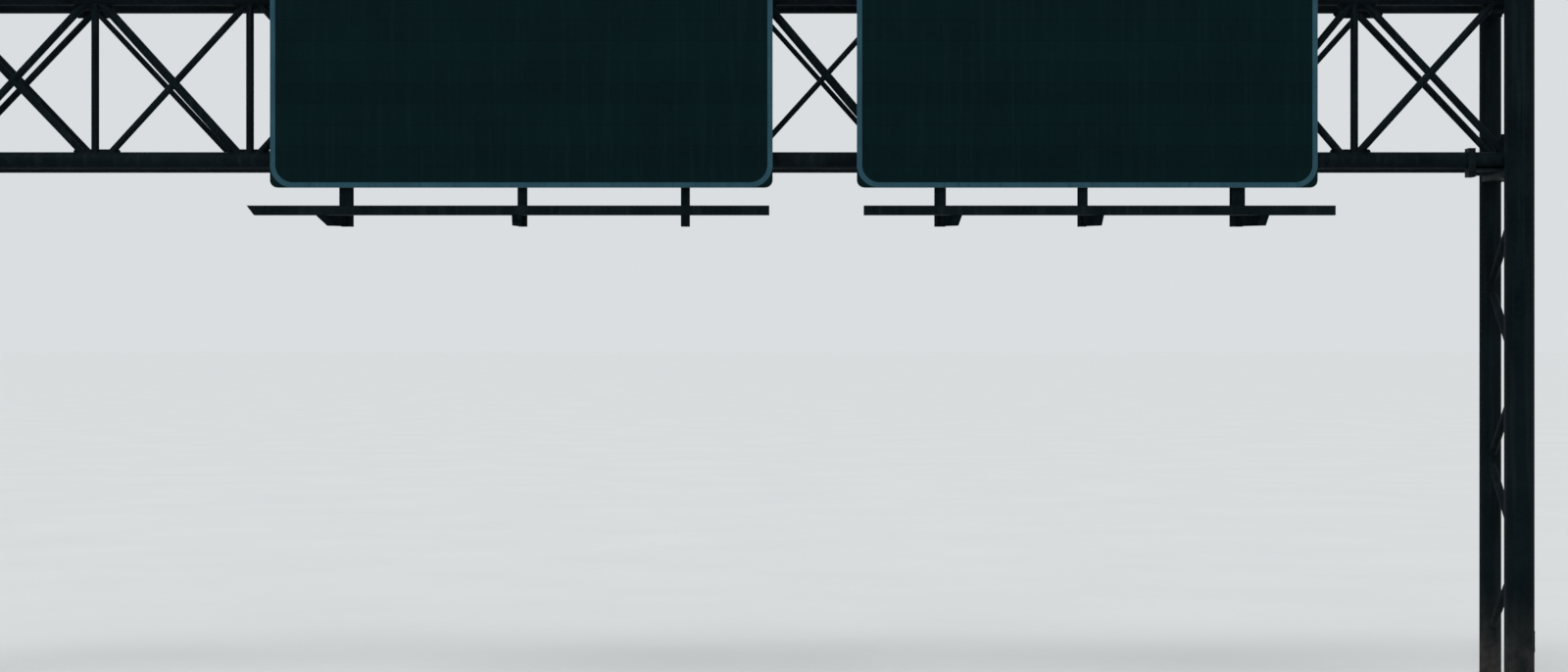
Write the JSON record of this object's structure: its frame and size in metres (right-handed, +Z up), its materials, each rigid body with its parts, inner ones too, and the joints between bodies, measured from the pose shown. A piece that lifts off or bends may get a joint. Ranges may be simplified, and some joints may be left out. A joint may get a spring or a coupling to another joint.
{
  "type": "overhead sign gantry",
  "caption": "Overhead sign gantry: a welded pipe box truss on laced pipe end frames carries blank sign panels and light rails over a road.",
  "frame": {"origin": "on the ground, under the middle of the whole object's bounding box", "axes": "+X across the road along the truss, +Y along the way that the sign's readers look, so the sign faces look to -Y, +Z up"},
  "size_m": [26.306, 4.075, 10.9128],
  "materials": {
    "truss_steel": "dark blue-grey weathered paint on welded pipe",
    "column_steel": "dark blue-grey weathered paint on rolled pipe",
    "base_steel": "dark paint, dusty and rust-stained near the ground",
    "fitting_steel": "dark galvanised and painted fittings",
    "post_steel": "dark weathered galvanised beams",
    "rail_steel": "dark weathered galvanised box section",
    "sign_sheet": "blank dark green reflective sheet on the front of bare aluminium planks",
    "sign_border": "pale grey-white reflective border film, dulled by weather"
  },
  "bodies": {
    "root": {"column_caps": "column_steel", "left_back_base_plate": "base_steel", "left_back_bottom_chord": "truss_steel", "left_back_column": "column_steel", "left_back_top_chord": "truss_steel", "left_back_web": "truss_steel", "left_bottom_bracing": "truss_steel", "left_front_base_plate": "base_steel", "left_front_bottom_chord": "truss_steel", "left_front_column": "column_steel", "left_front_top_chord": "truss_steel", "left_front_web": "truss_steel", "left_lacing": "column_steel", "left_light_arms": "post_steel", "left_light_rail": "rail_steel", "left_post_brackets": "fitting_steel", "left_saddles": "fitting_steel", "left_seat_beam": "fitting_steel", "left_sign_border": "sign_border", "left_sign_panel": "sign_sheet", "left_sign_posts": "post_steel", "left_splice_flanges": "fitting_steel", "left_top_bracing": "truss_steel", "right_back_base_plate": "base_steel", "right_back_bottom_chord": "truss_steel", "right_back_column": "column_steel", "right_back_top_chord": "truss_steel", "right_back_web": "truss_steel", "right_bottom_bracing": "truss_steel", "right_front_base_plate": "base_steel", "right_front_bottom_chord": "truss_steel", "right_front_column": "column_steel", "right_front_top_chord": "truss_steel", "right_front_web": "truss_steel", "right_lacing": "column_steel", "right_light_arms": "post_steel", "right_light_rail": "rail_steel", "right_post_brackets": "fitting_steel", "right_saddles": "fitting_steel", "right_seat_beam": "fitting_steel", "right_sign_border": "sign_border", "right_sign_panel": "sign_sheet", "right_sign_posts": "post_steel", "right_splice_flanges": "fitting_steel", "right_top_bracing": "truss_steel"}
  },
  "joints": []
}
